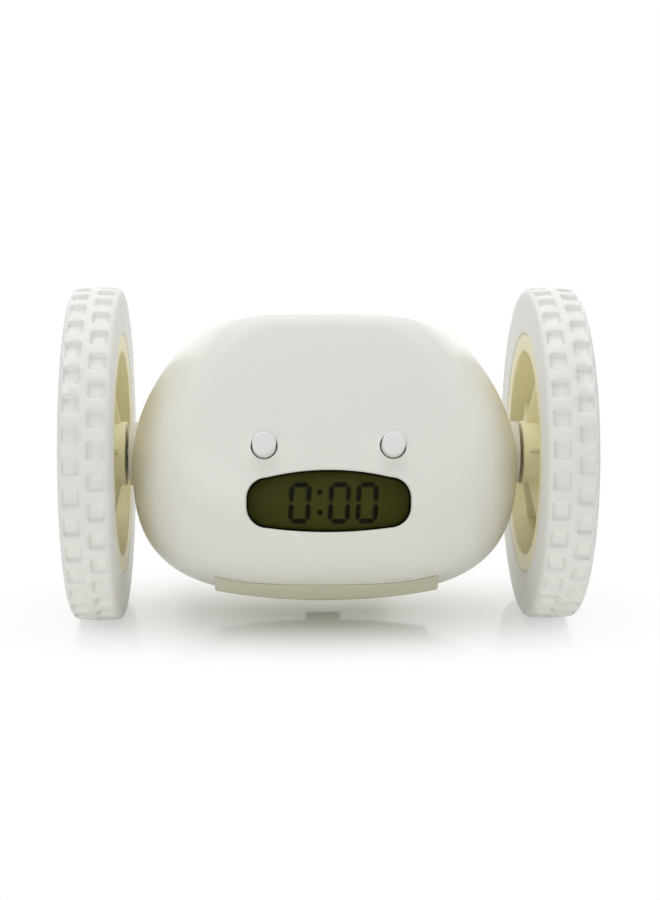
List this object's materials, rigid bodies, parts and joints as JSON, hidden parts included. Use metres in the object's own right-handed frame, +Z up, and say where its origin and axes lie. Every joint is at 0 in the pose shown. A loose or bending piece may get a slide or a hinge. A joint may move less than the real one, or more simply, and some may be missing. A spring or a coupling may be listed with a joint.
{
  "type": "runaway alarm clock",
  "caption": "Digital alarm clock with a rounded body between two wide treaded wheels that drive it away, with round eye-like buttons above a small display.",
  "frame": {"origin": "on the floor, under the middle of the wheels' axle", "axes": "+X along the axle towards the wheel on the right as seen from the front, -Y towards the display side, +Z up"},
  "size_m": [0.1318, 0.088, 0.088],
  "materials": {
    "shell_white": "satin",
    "button_white": "gloss",
    "tyre_white": "matt",
    "hub_white": "satin",
    "window_clear": "gloss",
    "lcd_green": "gloss",
    "ink_black": "matt",
    "dark_plastic": "matt",
    "zebra_pink": "matt",
    "board_green": "satin",
    "steel": "bright",
    "spring_metal": "bright",
    "nylon": "satin",
    "brass": "bright",
    "cell_wrap": "gloss",
    "motor_can": "bright",
    "speaker_black": "satin"
  },
  "bodies": {
    "clock_body": {"front_shell": "shell_white", "rear_shell": "shell_white", "housing_screws": "steel", "display_window": "window_clear", "lcd_panel": "lcd_green", "lcd_frame": "dark_plastic", "zebra_strip": "zebra_pink", "lcd_digits": "ink_black", "main_board": "board_green", "main_board_screws": "steel", "eye_switches": "dark_plastic", "snooze_board": "board_green", "snooze_switch": "dark_plastic", "rear_board": "board_green", "rear_switches": "dark_plastic", "rear_board_screws": "steel", "speaker": "speaker_black", "battery_tray": "shell_white", "battery_cells": "cell_wrap", "battery_contacts": "spring_metal", "idler_pin_left": "steel", "motor_left": "motor_can", "gearbox_frame_left": "dark_plastic", "gearbox_cover_left": "nylon", "gearbox_screws_left": "steel", "bushing_left": "brass", "idler_pin_right": "steel", "motor_right": "motor_can", "gearbox_frame_right": "dark_plastic", "gearbox_cover_right": "nylon", "gearbox_screws_right": "steel", "bushing_right": "brass"},
    "wheel_left": {"tyre_left": "tyre_white", "wheel_hub_left": "hub_white", "wheel_cap_left": "hub_white", "axle_nut_left": "steel", "axle_left": "steel", "output_gear_left": "nylon"},
    "idler_left": {"idler_gear_left": "nylon"},
    "rotor_left": {"motor_pinion_left": "brass", "motor_shaft_left": "steel"},
    "wheel_right": {"tyre_right": "tyre_white", "wheel_hub_right": "hub_white", "wheel_cap_right": "hub_white", "axle_nut_right": "steel", "axle_right": "steel", "output_gear_right": "nylon"},
    "idler_right": {"idler_gear_right": "nylon"},
    "rotor_right": {"motor_pinion_right": "brass", "motor_shaft_right": "steel"},
    "hour_button": {"hour_button": "button_white"},
    "minute_button": {"minute_button": "button_white"},
    "snooze_button": {"snooze_button": "button_white"},
    "alarm_set_button": {"alarm_set_button": "button_white"},
    "time_set_button": {"time_set_button": "button_white"},
    "wheel_switch": {"wheel_switch": "button_white"},
    "battery_door": {"battery_door": "shell_white"}
  },
  "joints": [
    {"name": "wheel_left_spin", "type": "hinge", "parent": "clock_body", "child": "wheel_left", "pos_m": [-0.058, 0, 0.044], "axis": [1, 0, 0], "continuous": true},
    {"name": "idler_left_spin", "type": "hinge", "parent": "clock_body", "child": "idler_left", "pos_m": [-0.0375, 0.01136, 0.05043], "axis": [1, 0, 0], "continuous": true},
    {"name": "rotor_left_spin", "type": "hinge", "parent": "clock_body", "child": "rotor_left", "pos_m": [-0.035, 0.00306, 0.05917], "axis": [1, 0, 0], "continuous": true},
    {"name": "wheel_right_spin", "type": "hinge", "parent": "clock_body", "child": "wheel_right", "pos_m": [0.058, 0, 0.044], "axis": [1, 0, 0], "continuous": true},
    {"name": "idler_right_spin", "type": "hinge", "parent": "clock_body", "child": "idler_right", "pos_m": [0.0375, 0.01136, 0.05043], "axis": [1, 0, 0], "continuous": true},
    {"name": "rotor_right_spin", "type": "hinge", "parent": "clock_body", "child": "rotor_right", "pos_m": [0.035, 0.00306, 0.05917], "axis": [1, 0, 0], "continuous": true},
    {"name": "hour_button_press", "type": "slide", "parent": "clock_body", "child": "hour_button", "axis": [0, 0.887, -0.4617], "range_m": [0, 0.0006], "stiffness_N_per_m": 400, "springref_m": -0.0004},
    {"name": "minute_button_press", "type": "slide", "parent": "clock_body", "child": "minute_button", "axis": [0, 0.887, -0.4617], "range_m": [0, 0.0006], "stiffness_N_per_m": 400, "springref_m": -0.0004},
    {"name": "snooze_button_press", "type": "slide", "parent": "clock_body", "child": "snooze_button", "axis": [0, -0.8141, -0.5807], "range_m": [0, 0.001], "stiffness_N_per_m": 300, "springref_m": -0.0004},
    {"name": "alarm_set_button_press", "type": "slide", "parent": "clock_body", "child": "alarm_set_button", "axis": [0, -0.9588, 0.284], "range_m": [0, 0.0006], "stiffness_N_per_m": 400, "springref_m": -0.0004},
    {"name": "time_set_button_press", "type": "slide", "parent": "clock_body", "child": "time_set_button", "axis": [0, -0.9588, 0.284], "range_m": [0, 0.0006], "stiffness_N_per_m": 400, "springref_m": -0.0004},
    {"name": "wheel_switch_slide", "type": "slide", "parent": "clock_body", "child": "wheel_switch", "axis": [1, 0, 0], "range_m": [0, 0.004]},
    {"name": "battery_door_lift", "type": "slide", "parent": "clock_body", "child": "battery_door", "axis": [0, -0.284, -0.9588], "range_m": [0, 0.012]}
  ],
  "couplings": [
    {"joint": "idler_left_spin", "follows": "wheel_left_spin", "ratio": -3.3333},
    {"joint": "rotor_left_spin", "follows": "wheel_left_spin", "ratio": 10},
    {"joint": "idler_right_spin", "follows": "wheel_right_spin", "ratio": -3.3333},
    {"joint": "rotor_right_spin", "follows": "wheel_right_spin", "ratio": 10}
  ]
}
